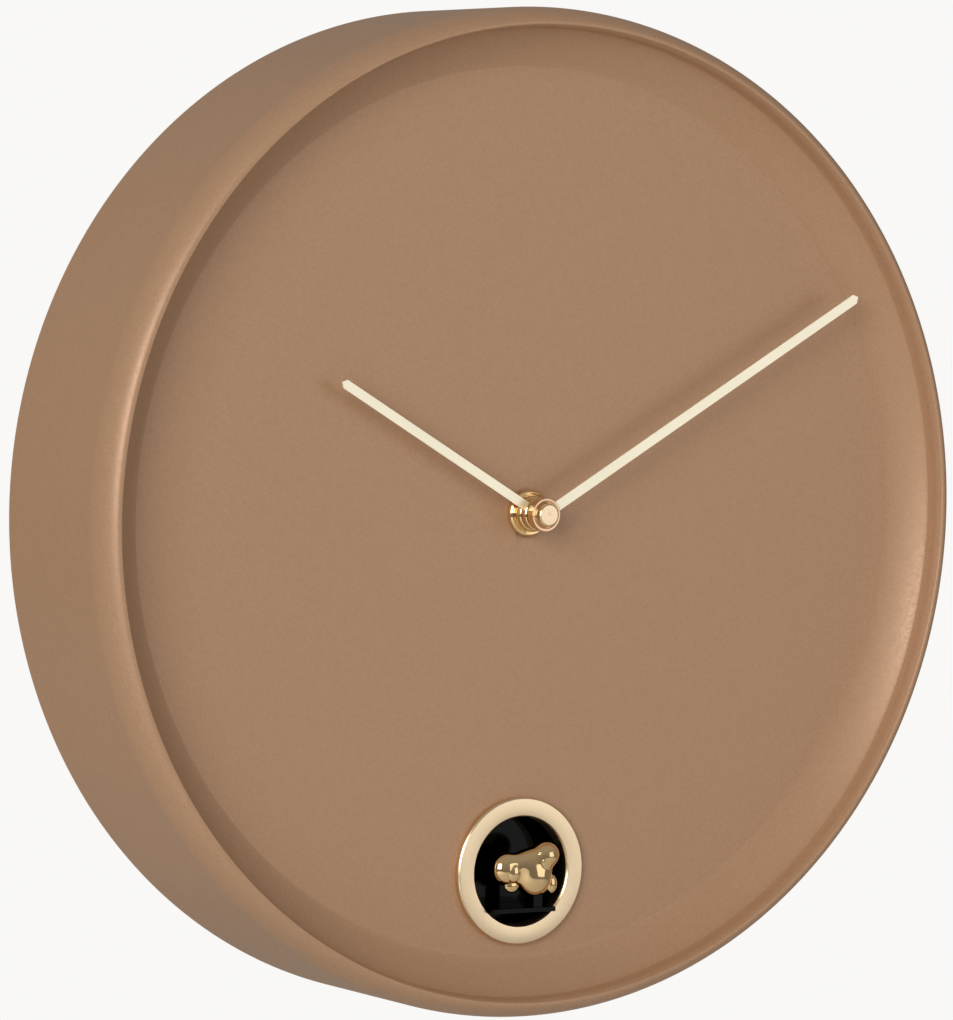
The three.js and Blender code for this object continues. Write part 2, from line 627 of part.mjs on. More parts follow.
function movementParts() {
  place("movement_case", movementCase(), BLACK_MOULDING);
  place("movement_cover", movementCover(), BLACK_MOULDING);
  place("threaded_bush", threadedBush(), POLISHED_GOLD);
  place("dial_nut", dialNut(), POLISHED_GOLD);
  const washer = turned([[4, -41.65], [11, -41.65], [11, -40.65], [4, -40.65]], 0, 0, 20);
  place("dial_washer", washer, RUBBER);
  place("stator", stator(), STEEL);
  place("coil", coil(), COPPER);
  place("quartz_board", box(-26, -4, -36.2, -35.2, -26, -9), BOARD_GREEN);
  place("quartz_crystal", rodX(-33.7, -20, 1.4, -22, -14, 10), STEEL);
  place("minute_arbor", minuteArbor(), STEEL);
  place("minute_hand", minuteHand(), HAND_GOLD);
  place("hand_cap", handCap(), SATIN_GOLD);
  place("hour_wheel", hourWheel(), WHITE_GEAR);
  place("hour_hand", hourHand(), HAND_GOLD);
  const motion = join(
    gear(MOTION, TEETH.motion, COARSE_MODULE, ...AT.motion),
    gear(MOTION, TEETH.motionPinion, COARSE_MODULE, ...AT.motionPinion),
    rodY(...MOTION, 0.8, -39, -35.4, 12),
  );
  place("motion_wheel", motion, WHITE_GEAR);
  place("setting_knob", settingKnob(), WHITE_GEAR);
  const centre = join(
    gear(HAND_AXIS, TRAIN.centre, FINE_MODULE, ...AT.centre),
    rodY(0, 0, 0.8, -34.9, -24.5, 12),
  );
  place("centre_wheel", centre, WHITE_GEAR);
  const { third, seconds, step } = TRAIN;
  place("third_wheel", wheelAndPinion(THIRD, third, THIRD_AT), WHITE_GEAR);
  place("seconds_wheel", wheelAndPinion(SECONDS, seconds, SECONDS_AT), WHITE_GEAR);
  place("step_wheel", wheelAndPinion(STEP, step, STEP_AT), WHITE_GEAR);
  place("rotor", rotor(), finish(0x44474b, 0.4, 0.6));
}

// ---- cuckoo ----
const DRIVE = { y: -29, pinion: 12, wheel: 30, motor: 10 };
const DRIVE_Z = RACK_TOP_Z + tipRadius(DRIVE.pinion, COARSE_MODULE) + 0.1;
const MOTOR_Z = DRIVE_Z + meshDistance(DRIVE.wheel, DRIVE.motor, COARSE_MODULE);
const BRACKET_X = [-5, 6.8];
const MOTOR = { radius: 10, length: 24, boss: 2.5, nose: 3.4 };

// Round tunnel behind the window, slotted along its top for the tray's tab.
function windowSleeve() {
  const flange = 20.5;
  const flangeY = -40.2;
  const wall = SLEEVE_OUTER - SLEEVE_INNER;
  const tunnel = turned([
    [SLEEVE_INNER, DIAL_BACK_Y + GAP], [flange, DIAL_BACK_Y + GAP], [flange, flangeY],
    [SLEEVE_OUTER, flangeY], [SLEEVE_OUTER, SLEEVE_END_Y], [0, SLEEVE_END_Y],
    [0, SLEEVE_END_Y - wall], [SLEEVE_INNER, SLEEVE_END_Y - wall],
  ], 0, WINDOW_Z, 36);
  return tunnel.subtract(box(-2, 2, TRAY_BACK_Y - 0.7, -23, WINDOW_Z, -80));
}

// Floor with the bird's perch, round back wall, and a tab that lifts the toothed rack clear of
// the sleeve.
function birdTray() {
  const wallThick = 1.6;
  const floorY = [TRAY_FRONT_Y, TRAY_BACK_Y + 1];
  const half = 1.5;
  const barY = [TRAY_BACK_Y - 1, -17];
  const pitch = Math.PI * COARSE_MODULE;
  const teeth = Array.from({ length: 16 }, (_, i) => -40 + i * pitch)
    .filter((y) => y > barY[0] && y + pitch / 2 < barY[1])
    .map((y) => box(-half, half, y, y + pitch / 2, RACK_TOP_Z - 0.5, RACK_TOP_Z));
  return join(
    box(-TRAY_HALF_WIDTH, TRAY_HALF_WIDTH, ...floorY, TRAY_TOP_Z - TRAY_THICK, TRAY_TOP_Z),
    rodY(0, WINDOW_Z, 15.4, TRAY_BACK_Y, TRAY_BACK_Y + wallThick, 36),
    box(2.8, 6, -49, -45.6, TRAY_TOP_Z - 0.1, PERCH_TOP_Z),
    box(-half, half, TRAY_BACK_Y, TRAY_BACK_Y + wallThick, WINDOW_Z + 14, RACK_TOP_Z - 2),
    box(-half, half, ...barY, RACK_TOP_Z - 2.6, RACK_TOP_Z - 0.4),
    ...teeth,
  );
}

// The bird's outline comes from rounded lumps blended into each other: body, head, rump, back,
// near wing tip, far wing.
const BIRD_CENTRE = new THREE.Vector3(2.2, -47.4, -106.6);
const BIRD_LUMPS = [
  { at: [3.7, -47.3, -108.3], size: [5.7, 4.6, 6.2] },
  { at: [6.5, -48.9, -101.9], size: [4.4, 3.9, 3.9] },
  { at: [-5.7, -46.4, -106], size: [4.7, 3.5, 4.9] },
  { at: [1.4, -47.2, -104.3], size: [5, 3.9, 4] },
  { at: [-3.8, -47, -110.9], size: [2.6, 1.2, 2.3] },
  { at: [10.3, -46.8, -111], size: [2, 1.4, 2.9] },
];

function birdField(point) {
  const sharpness = 0.2;
  let sum = 0;
  for (const { at, size } of BIRD_LUMPS) {
    const u = (point.x - at[0]) / size[0];
    const v = (point.y - at[1]) / size[1];
    const w = (point.z - at[2]) / size[2];
    sum += Math.exp((1 - Math.sqrt(u * u + v * v + w * w)) / sharpness);
  }
  return Math.log(sum) * sharpness;
}

function bird() {
  const ball = new THREE.SphereGeometry(1, 32, 20);
  const position = ball.attributes.position;
  const ray = new THREE.Vector3();
  const reach = 14;
  for (let i = 0; i < position.count; i += 1) {
    ray.fromBufferAttribute(position, i).normalize();
    let inside = 0;
    let outside = reach;
    for (let step = 0; step < 30; step += 1) {
      const middle = (inside + outside) / 2;
      const probe = ray.clone().multiplyScalar(middle).add(BIRD_CENTRE);
      if (birdField(probe) > 0) inside = middle;
      else outside = middle;
    }
    const surface = ray.multiplyScalar(inside).add(BIRD_CENTRE);
    surface.z = Math.max(surface.z, PERCH_TOP_Z + GAP);
    position.setXYZ(i, surface.x, surface.y, surface.z);
  }
  return solid(ball);
}

// U-shaped frame that carries the drive shaft and the motor over the sleeve.
function gearBracket() {
  const [left, right] = BRACKET_X;
  const cheek = 1.2;
  const height = [-86, -57];
  const frame = join(
    box(-16, right, BRACKET_Y, BRACKET_Y + 1.5, ...height),
    box(left, left + cheek, BRACKET_Y, -18, ...height),
    box(right - cheek, right, BRACKET_Y, -18, ...height),
  );
  return cut(
    frame,
    rodX(DRIVE.y, DRIVE_Z, 1.3, left - 1, right + 1, 16),
    rodX(DRIVE.y, MOTOR_Z, MOTOR.nose, 0, right + 1, 20),
    ...BRACKET_SCREWS.map(([x, z]) => rodY(x, z, 1.2, -45, -30, 12)),
  );
}

function driveGear() {
  const { y, pinion, wheel } = DRIVE;
  return join(
    gearAboutX(y, DRIVE_Z, pinion, COARSE_MODULE, -1.6, 3.2),
    gearAboutX(y, DRIVE_Z, wheel, COARSE_MODULE, 3, 5),
    rodX(y, DRIVE_Z, 1.1, BRACKET_X[0] - 0.5, BRACKET_X[1] - 0.1, 12),
  );
}

function motorBody() {
  const face = BRACKET_X[1] + GAP;
  return join(
    rodX(DRIVE.y, MOTOR_Z, MOTOR.radius, face, face + MOTOR.length, 32),
    rodX(DRIVE.y, MOTOR_Z, MOTOR.boss, face + MOTOR.length - 1, face + MOTOR.length + 2, 20),
  );
}

function motorPinion() {
  return gearAboutX(DRIVE.y, MOTOR_Z, DRIVE.motor, COARSE_MODULE, 2.6, BRACKET_X[1] - 0.1);
}

function cuckooParts() {
  place("window_sleeve", windowSleeve(), BLACK_GLOSS);
  place("gear_bracket", gearBracket(), BLACK_MOULDING);
  BRACKET_SCREWS.forEach((spot, i) => {
    const screw = screwAlongY(spot, 2, 0.9, BRACKET_Y + 1.55, DIAL_BACK_Y - 0.5, 1.2);
    place(`bracket_screw_${i + 1}`, screw, STEEL);
  });
  place("bird_tray", birdTray(), BLACK_GLOSS);
  place("bird", bird(), POLISHED_GOLD);
  place("drive_gear", driveGear(), WHITE_GEAR);
  place("motor_body", motorBody(), STEEL);
  place("motor_pinion", motorPinion(), POLISHED_GOLD);
}

// ---- leads ----
const WIRE_RADIUS = 0.9;

// Insulated wire, clipped along the inside of the case.
function lead(route) {
  const curve = new THREE.CatmullRomCurve3(route.map((p) => new THREE.Vector3(...p)));
  const section = new THREE.Shape().absarc(0, 0, WIRE_RADIUS, 0, 2 * Math.PI, false);
  const steps = 4 * (route.length - 1);
  const tube = new THREE.ExtrudeGeometry(section, { steps, extrudePath: curve, curveSegments: 3 });
  return solid(tube);
}

function leadParts() {
  const batteryRoute = [
    [-44.5, -14, 8], [-41, -16, 20], [-26, -17, 36], [0, -17, 42], [26, -17, 38], [46.5, -13, 30],
  ];
  const motorRoute = [[34, -29, -68], [48, -26, -58], [50, -20, -30], [60, -13.5, -8], [60, -12.3, -3]];
  place("battery_lead", lead(batteryRoute), RUBBER);
  place("motor_lead", lead(motorRoute), RUBBER);
}

caseParts();
batteryParts();
soundParts();
movementParts();
cuckooParts();
leadParts();

export default clock;
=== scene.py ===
"""Looks of a round wall clock with a cuckoo window.

The clock faces -Y with +Z up, its rear face lies in the plane y = 0 and its hand axis runs
along Y through the origin. Sizes are in metres; MM turns millimetres into metres.
"""
import json
import logging
import math
from dataclasses import dataclass
from enum import Enum
from typing import Any, Sequence

import bmesh
import bpy
import numpy as np
from mathutils import Matrix, Vector


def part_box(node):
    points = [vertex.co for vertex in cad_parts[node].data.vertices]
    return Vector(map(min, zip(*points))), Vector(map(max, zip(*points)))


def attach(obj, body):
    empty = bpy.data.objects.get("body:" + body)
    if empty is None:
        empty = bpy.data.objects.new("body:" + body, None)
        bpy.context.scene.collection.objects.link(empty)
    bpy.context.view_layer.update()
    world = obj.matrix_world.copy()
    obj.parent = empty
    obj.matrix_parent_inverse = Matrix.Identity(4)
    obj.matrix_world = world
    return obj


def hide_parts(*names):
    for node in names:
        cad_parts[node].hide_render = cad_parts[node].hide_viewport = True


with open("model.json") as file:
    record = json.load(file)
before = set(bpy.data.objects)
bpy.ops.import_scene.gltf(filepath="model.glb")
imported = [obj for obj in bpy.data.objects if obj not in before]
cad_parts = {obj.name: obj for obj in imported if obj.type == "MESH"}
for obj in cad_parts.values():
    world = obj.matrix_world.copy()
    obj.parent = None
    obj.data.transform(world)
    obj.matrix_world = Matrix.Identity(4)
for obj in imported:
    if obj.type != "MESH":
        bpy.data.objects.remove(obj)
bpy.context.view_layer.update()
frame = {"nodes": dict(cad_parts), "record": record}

LOG = logging.getLogger("clock")
MM = 0.001
FULL_TURN = 2.0 * math.pi
ROUND_STEPS = 320
SMALL_ROUND_STEPS = 96
# Socket numbers of a Map Range node's limits.
FROM_MIN, FROM_MAX, TO_MIN, TO_MAX = 1, 2, 3, 4

Array = np.ndarray
Object = bpy.types.Object
NodeTree = bpy.types.NodeTree
ShaderNode = bpy.types.Node


# ---------------------------------------------------------------- surfaces


def grid_faces(rows: int, columns: int, close_rows: bool, close_columns: bool) -> Array:
    """Joins a grid of points into quads.

    Corner (i, j) has number i * columns + j; a quad takes (i, j), (i, j + 1),
    (i + 1, j + 1) and (i + 1, j), with the last row or column joined to the first if closed.

    Args:
        rows: points along the first parameter.
        columns: points along the second parameter.
        close_rows: whether the last row joins the first.
        close_columns: whether the last column joins the first.

    Returns:
        One row of four corner numbers for each quad.
    """
    i, j = np.meshgrid(
        np.arange(rows if close_rows else rows - 1),
        np.arange(columns if close_columns else columns - 1),
        indexing="ij",
    )
    i, j = i.ravel(), j.ravel()
    below, beside = (i + 1) % rows, (j + 1) % columns
    return np.stack(
        [i * columns + j, i * columns + beside, below * columns + beside, below * columns + j], axis=1
    )


def piece_from(name: str, points: Array, faces: Array, crease_degrees: float = 32.0) -> Object:
    """Makes a closed, outward-facing mesh object from arrays.

    Args:
        name: the piece's name.
        points: one row of x, y, z for each corner, in metres.
        faces: one row of corner numbers for each face.
        crease_degrees: edges sharper than this stay crisp.

    Returns:
        The new object, at the origin and unturned.
    """
    mesh = bpy.data.meshes.new(name)
    mesh.from_pydata(points.tolist(), [], faces.tolist())
    shell = bmesh.new()
    shell.from_mesh(mesh)
    bmesh.ops.remove_doubles(shell, verts=shell.verts, dist=1e-7)
    bmesh.ops.dissolve_degenerate(shell, edges=shell.edges, dist=1e-7)
    bmesh.ops.recalc_face_normals(shell, faces=shell.faces)
    shell.to_mesh(mesh)
    shell.free()
    mesh.shade_smooth()
    mesh.set_sharp_from_angle(angle=math.radians(crease_degrees))
    piece = bpy.data.objects.new(name, mesh)
    bpy.context.scene.collection.objects.link(piece)
    return piece


def rounded(outline: Sequence[tuple[float, float]], radius: float, steps: int = 4) -> Array:
    """Rounds every corner of a closed outline.

    Each corner B becomes the curve (1 - t)^2 A + 2 t (1 - t) B + t^2 C, where A and C lie on
    the two sides at the rounding distance, or at a third of a shorter side.

    Args:
        outline: the corners in order, in metres.
        radius: distance from each corner at which the curve starts.
        steps: pieces in each curve.

    Returns:
        The rounded outline, one row for each point.
    """
    corner = np.asarray(outline, float)
    before, after = np.roll(corner, 1, axis=0) - corner, np.roll(corner, -1, axis=0) - corner
    reach_in = np.linalg.norm(before, axis=1, keepdims=True)
    reach_out = np.linalg.norm(after, axis=1, keepdims=True)
    start = corner + before * np.minimum(radius / reach_in, 0.33)
    end = corner + after * np.minimum(radius / reach_out, 0.33)
    t = np.linspace(0.0, 1.0, steps + 1)[None, :, None]
    curve = (1 - t) ** 2 * start[:, None] + 2 * t * (1 - t) * corner[:, None] + t**2 * end[:, None]
    return curve.reshape(-1, 2)


def rounded_run(corners: Sequence[tuple[float, float]], radius: float) -> Array:
    """Rounds the inner corners of an open run of points, as rounded() does, and keeps its ends.

    Args:
        corners: the corners in order, in metres.
        radius: distance from each corner at which the curve starts.

    Returns:
        The rounded run, one row for each point.
    """
    steps = 4
    curves = rounded(corners, radius, steps)[steps + 1 : -(steps + 1)]
    return np.concatenate([[corners[0]], curves, [corners[-1]]])


def ellipse(centre: tuple[float, float], radii: tuple[float, float], degrees: tuple[float, float],
            steps: int, power: float = 2.0) -> Array:
    """Points of an elliptical arc: centre plus (a cos t, b sin t) for evenly spaced t.

    With a power n other than 2, each cosine and sine keeps its sign and is raised to 2 / n,
    which flattens the arc towards its chord for n under 2.

    Args:
        centre: middle of the ellipse.
        radii: half axes a and b.
        degrees: first and last value of t.
        steps: pieces in the arc.
        power: the n above.

    Returns:
        One row for each point.
    """
    t = np.radians(np.linspace(degrees[0], degrees[1], steps + 1))
    across = np.sign(np.cos(t)) * np.abs(np.cos(t)) ** (2 / power)
    along = np.sign(np.sin(t)) * np.abs(np.sin(t)) ** (2 / power)
    return np.stack([centre[0] + radii[0] * across, centre[1] + radii[1] * along], axis=1)


def turned(name: str, outline: Array, axis: tuple[float, float] = (0.0, 0.0),
           steps: int = SMALL_ROUND_STEPS) -> Object:
    """Turns a closed outline of (radius, y) about an axis along Y.

    A point is (x0 + r cos u, y, z0 + r sin u) for u around a full turn.

    Args:
        name: the piece's name.
        outline: closed outline, one row of radius and y for each point.
        axis: x and z of the axis.
        steps: points around.

    Returns:
        The turned piece.
    """
    u = np.arange(steps) * FULL_TURN / steps
    radius, height = outline[:, 0:1], outline[:, 1:2]
    x = axis[0] + radius * np.cos(u)
    z = axis[1] + radius * np.sin(u)
    points = np.stack([x, np.broadcast_to(height, x.shape), z], axis=-1).reshape(-1, 3)
    return piece_from(name, points, grid_faces(len(outline), steps, True, True))


def prism(name: str, outline: Array, low: float, high: float, degrees: float = 0.0,
          edge: float = 0.06 * MM) -> Object:
    """A flat outline in x and z given thickness along y, its two rims drawn in a little.

    The layers are the outline at low and high, shrunk by the edge, and the full outline one
    edge further in; a fan of triangles from the middle closes each face.

    Args:
        name: the piece's name.
        outline: closed convex outline, one row of x and z for each point.
        low: smallest y.
        high: largest y.
        degrees: clockwise turn seen from the front.
        edge: size of the broken edge.

    Returns:
        The piece.
    """
    middle = outline.mean(axis=0)
    span = outline - middle
    length = np.linalg.norm(span, axis=1, keepdims=True)
    small = middle + span * (1 - edge / length)
    layers = [(middle + 0 * span, low), (small, low), (outline, low + edge),
              (outline, high - edge), (small, high), (middle + 0 * span, high)]
    turn = math.radians(degrees)
    rows = []
    for layer, y in layers:
        x = layer[:, 0] * math.cos(turn) + layer[:, 1] * math.sin(turn)
        z = -layer[:, 0] * math.sin(turn) + layer[:, 1] * math.cos(turn)
        rows.append(np.stack([x, np.full_like(x, y), z], axis=1))
    points = np.concatenate(rows)
    return piece_from(name, points, grid_faces(len(layers), len(outline), False, True))


# ---------------------------------------------------------------- finishes


def linear(hex_colour: str) -> tuple[float, float, float, float]:
    """Turns an sRGB colour such as #A38064 into linear red, green, blue and alpha."""
    parts = [int(hex_colour[i : i + 2], 16) / 255 for i in (1, 3, 5)]
    scaled = [c / 12.92 if c <= 0.04045 else ((c + 0.055) / 1.055) ** 2.4 for c in parts]
    return (scaled[0], scaled[1], scaled[2], 1.0)


def add_node(tree: NodeTree, kind: str, settings: dict[str, Any] | None = None,
             inputs: dict[Any, Any] | None = None) -> ShaderNode:
    """Adds a shader node.

    Args:
        tree: the material's node tree.
        kind: the node's type name.
        settings: node properties and their values.
        inputs: socket name or number, and a value or an output socket to link from.

    Returns:
        The new node.
    """
    made = tree.nodes.new(kind)
    for key, value in (settings or {}).items():
        setattr(made, key, value)
    for key, value in (inputs or {}).items():
        if isinstance(value, bpy.types.NodeSocket):
            tree.links.new(value, made.inputs[key])
        else:
            made.inputs[key].default_value = value
    return made


@dataclass(frozen=True)
class Finish:
    """A plain moulded or machined surface with a fine grain and uneven gloss."""

    name: str
    colour: str
    roughness: float
    metallic: float = 0.0
    ior: float = 1.5
    grain_mm: float = 0.4
    grain_depth_mm: float = 0.01
    patch_mm: float = 14.0
    colour_spread: float = 0.05
    gloss_spread: float = 0.05

    def material(self) -> bpy.types.Material:
        """Returns the finish's material, made the first time it is asked for."""
        made = bpy.data.materials.get(self.name)
        if made is None:
            made = bpy.data.materials.new(self.name)
            made.use_nodes = True
            tree = made.node_tree
            tree.nodes.clear()
            shader = add_node(tree, "ShaderNodeBsdfPrincipled")
            add_node(tree, "ShaderNodeOutputMaterial", inputs={"Surface": shader.outputs["BSDF"]})
            self.build(tree, shader)
        return made

    def build(self, tree: NodeTree, shader: ShaderNode) -> None:
        """Sets the shader's constants, then its colour, gloss and grain.

        Args:
            tree: the material's node tree.
            shader: its principled shader.
        """
        shader.inputs["Metallic"].default_value = self.metallic
        if self.metallic < 0.5:
            shader.inputs["IOR"].default_value = self.ior
        place = add_node(tree, "ShaderNodeTexCoord").outputs["Object"]
        self.paint(tree, shader, place)
        self.grain(tree, shader, place)

    def paint(self, tree: NodeTree, shader: ShaderNode, place: Any) -> None:
        """Colour and gloss drift over broad patches, as handling and flow leave them.

        Args:
            tree: the material's node tree.
            shader: its principled shader.
            place: the object coordinates.
        """
        patch = add_node(tree, "ShaderNodeTexNoise", inputs={
            "Vector": place, "Scale": 1.0 / (self.patch_mm * MM), "Detail": 4.0})
        factor = patch.outputs["Fac"]
        value = add_node(tree, "ShaderNodeMapRange", inputs={
            "Value": factor, TO_MIN: 1.0 - self.colour_spread, TO_MAX: 1.0 + self.colour_spread})
        tone = add_node(tree, "ShaderNodeHueSaturation", inputs={
            "Color": linear(self.colour), "Value": value.outputs[0]})
        gloss = add_node(tree, "ShaderNodeMapRange", inputs={
            "Value": factor, TO_MIN: self.roughness - self.gloss_spread,
            TO_MAX: self.roughness + self.gloss_spread})
        tree.links.new(tone.outputs["Color"], shader.inputs["Base Color"])
        tree.links.new(gloss.outputs[0], shader.inputs["Roughness"])

    def grain(self, tree: NodeTree, shader: ShaderNode, place: Any) -> None:
        """A shallow noise relief at the grain's own size.

        Args:
            tree: the material's node tree.
            shader: its principled shader.
            place: the object coordinates.
        """
        relief = add_node(tree, "ShaderNodeTexNoise", inputs={
            "Vector": place, "Scale": 1.0 / (self.grain_mm * MM), "Detail": 2.0})
        bump = add_node(tree, "ShaderNodeBump", inputs={
            "Strength": 0.6, "Distance": self.grain_depth_mm * MM, "Height": relief.outputs["Fac"]})
        tree.links.new(bump.outputs["Normal"], shader.inputs["Normal"])


@dataclass(frozen=True)
class SprayedMetallic(Finish):
    """Metallic lacquer sprayed on ABS: a soft sheen with pinpoint flakes that catch the light."""

    flake_mm: float = 0.55
    flake_lift: float = 0.10

    def paint(self, tree: NodeTree, shader: ShaderNode, place: Any) -> None:
        """Broad patches, with each flake cell a little lighter or darker than the lacquer.

        Args:
            tree: the material's node tree.
            shader: its principled shader.
            place: the object coordinates.
        """
        patch = add_node(tree, "ShaderNodeTexNoise", inputs={
            "Vector": place, "Scale": 1.0 / (self.patch_mm * MM), "Detail": 4.0})
        flake = add_node(tree, "ShaderNodeTexVoronoi", inputs={
            "Vector": place, "Scale": 1.0 / (self.flake_mm * MM)})
        single = add_node(tree, "ShaderNodeSeparateColor", inputs={"Color": flake.outputs["Color"]})
        drift = add_node(tree, "ShaderNodeMapRange", inputs={
            "Value": patch.outputs["Fac"], TO_MIN: 1.0 - self.colour_spread,
            TO_MAX: 1.0 + self.colour_spread})
        spark = add_node(tree, "ShaderNodeMapRange", inputs={
            "Value": single.outputs[0], TO_MIN: 1.0 - self.flake_lift, TO_MAX: 1.0 + self.flake_lift})
        value = add_node(tree, "ShaderNodeMath", {"operation": "MULTIPLY"}, {
            0: drift.outputs[0], 1: spark.outputs[0]})
        tone = add_node(tree, "ShaderNodeHueSaturation", inputs={
            "Color": linear(self.colour), "Value": value.outputs[0]})
        gloss = add_node(tree, "ShaderNodeMapRange", inputs={
            "Value": single.outputs[1], TO_MIN: self.roughness - self.gloss_spread,
            TO_MAX: self.roughness + self.gloss_spread})
        tree.links.new(tone.outputs["Color"], shader.inputs["Base Color"])
        tree.links.new(gloss.outputs[0], shader.inputs["Roughness"])


@dataclass(frozen=True)
class Brushed(Finish):
    """Metal brushed in one direction: fine lines that stretch its reflections."""

    line_mm: float = 0.25
    stretch: tuple[float, float, float] = (1.0, 1.0, 0.03)

    def grain(self, tree: NodeTree, shader: ShaderNode, place: Any) -> None:
        """Noise stretched along the brushing direction, as a relief.

        Args:
            tree: the material's node tree.
            shader: its principled shader.
            place: the object coordinates.
        """
        drawn = add_node(tree, "ShaderNodeMapping", inputs={"Vector": place, "Scale": self.stretch})
        relief = add_node(tree, "ShaderNodeTexNoise", inputs={
            "Vector": drawn.outputs["Vector"], "Scale": 1.0 / (self.line_mm * MM), "Detail": 2.0})
        bump = add_node(tree, "ShaderNodeBump", inputs={
            "Strength": 0.5, "Distance": self.grain_depth_mm * MM, "Height": relief.outputs["Fac"]})
        tree.links.new(bump.outputs["Normal"], shader.inputs["Normal"])


class Finishes(Enum):
    """The clock's finishes, one for each material slot."""

    # Caramel metallic lacquer on ABS: satin, with a light edge where the rim turns.
    CASE_PAINT = SprayedMetallic("sprayed_caramel_abs", "#B38C6C", 0.45, metallic=0.18,
                                 grain_mm=0.5, grain_depth_mm=0.006, patch_mm=60.0,
                                 colour_spread=0.012, gloss_spread=0.05, flake_lift=0.05)
    # Spark-eroded ABS: dull black with a leathery grain that scatters the light.
    BLACK_MOULDING = Finish("spark_eroded_abs", "#23211F", 0.58, grain_mm=0.7, grain_depth_mm=0.03)
    # Polished-tool ABS: near black, mirror-like, showing pale reflections only.
    BLACK_GLOSS = Finish("high_gloss_abs", "#010101", 0.10, ior=1.2, grain_mm=6.0, grain_depth_mm=0.004,
                         gloss_spread=0.03)
    # Anodised aluminium, finely turned: pale champagne with a soft broad highlight.
    SATIN_GOLD = Finish("anodised_champagne", "#EBD3B0", 0.26, metallic=1.0, grain_mm=0.3,
                        grain_depth_mm=0.002, colour_spread=0.02, gloss_spread=0.05)
    # Anodised rose gold, finely turned: warmer and darker than the champagne round it.
    ROSE_GOLD = Finish("anodised_rose_gold", "#E2BE9C", 0.22, metallic=1.0, grain_mm=0.3,
                       grain_depth_mm=0.002, colour_spread=0.02, gloss_spread=0.04)
    # Pressed aluminium with pale gold lacquer, bright and even: its near-white colour is a painted
    # highlight, standing in for the lamps' bright reflection in the flat hands.
    HAND_GOLD = Brushed("hand_sheet_painted_highlight", "#FFF6DC", 0.36, metallic=0.7, grain_depth_mm=0.002,
                        colour_spread=0.02)
    # Gold plating on a polished casting: deep yellow reflections with hard edges.
    POLISHED_GOLD = Finish("polished_gold_plate", "#EBCB98", 0.07, metallic=1.0, grain_mm=2.0,
                           grain_depth_mm=0.003, colour_spread=0.03, gloss_spread=0.03)
    # Zinc-plated steel: blue-grey with cloudy gloss.
    STEEL = Brushed("zinc_plated_steel", "#B9BCC0", 0.32, metallic=1.0, grain_depth_mm=0.004,
                    gloss_spread=0.10)
    # Unpigmented acetal: milky, slightly waxy.
    WHITE_GEAR = Finish("natural_acetal", "#E4E1D8", 0.38, ior=1.48, grain_mm=0.8)
    # Sintered magnet: dark, faintly metallic and pitted.
    MAGNET = Finish("sintered_magnet", "#4A4C50", 0.5, metallic=0.7, grain_mm=0.2, grain_depth_mm=0.02)
    # Enamelled copper wire: warm, ribbed by its windings.
    COPPER = Brushed("enamelled_copper", "#B3642F", 0.30, metallic=0.9, line_mm=0.3,
                     stretch=(0.05, 0.05, 1.0), grain_depth_mm=0.03)
    # Green solder mask on a glass-epoxy board: glossy with a woven ripple.
    BOARD_GREEN = Finish("solder_mask", "#2E6A44", 0.28, grain_mm=1.1, grain_depth_mm=0.01)
    # Epoxy chip package: matt black.
    CHIP_BLACK = Finish("epoxy_package", "#191919", 0.6, grain_mm=0.2)
    # Nitrile rubber: black and dry.
    RUBBER = Finish("nitrile_rubber", "#1B1B1C", 0.8, grain_mm=0.5)
    # Pressed paper: dark, fibrous and fully matt.
    PAPER_CONE = Finish("pressed_paper", "#34312F", 0.95, grain_mm=0.9, grain_depth_mm=0.05)
    # Printed foil jacket of a dry cell, left plain.
    CELL_JACKET = Finish("plain_cell_jacket", "#343A42", 0.3, metallic=0.3, grain_mm=3.0)

    def on(self, piece: Object, slot: str | None = None) -> Object:
        """Gives a piece this finish.

        Args:
            piece: the object to dress.
            slot: not used; the record's slot name for a new piece, or None on a carried-over node.

        Returns:
            The same piece.
        """
        piece.data.materials.clear()
        piece.data.materials.append(self.value.material())
        return piece


def stand_in(piece: Object, finish: Finishes, *nodes: str, slot: str | None = None) -> Object:
    """Lets a new piece take the place of CAD nodes, on their body.

    Args:
        piece: the new piece.
        finish: its finish.
        nodes: the nodes that it stands for.
        slot: the record's slot, where it isn't the finish's name in small letters.

    Returns:
        The same piece.
    """
    finish.on(piece, slot or finish.name.lower())
    body = next(b for b, members in frame["record"]["behaviour"]["bodies"].items() if nodes[0] in members)
    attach(piece, body)
    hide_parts(*nodes)
    LOG.info("%s stands for %s", piece.name, ", ".join(nodes))
    return piece


def added(piece: Object, finish: Finishes, body: str, slot: str | None = None) -> Object:
    """Lets a new piece ride on a body beside the CAD nodes.

    Args:
        piece: the new piece.
        finish: its finish.
        body: the body that carries it.
        slot: the record's slot, where it isn't the finish's name in small letters.

    Returns:
        The same piece.
    """
    finish.on(piece, slot or finish.name.lower())
    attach(piece, body)
    LOG.info("%s rides on %s", piece.name, body)
    return piece


# ---------------------------------------------------------------- case


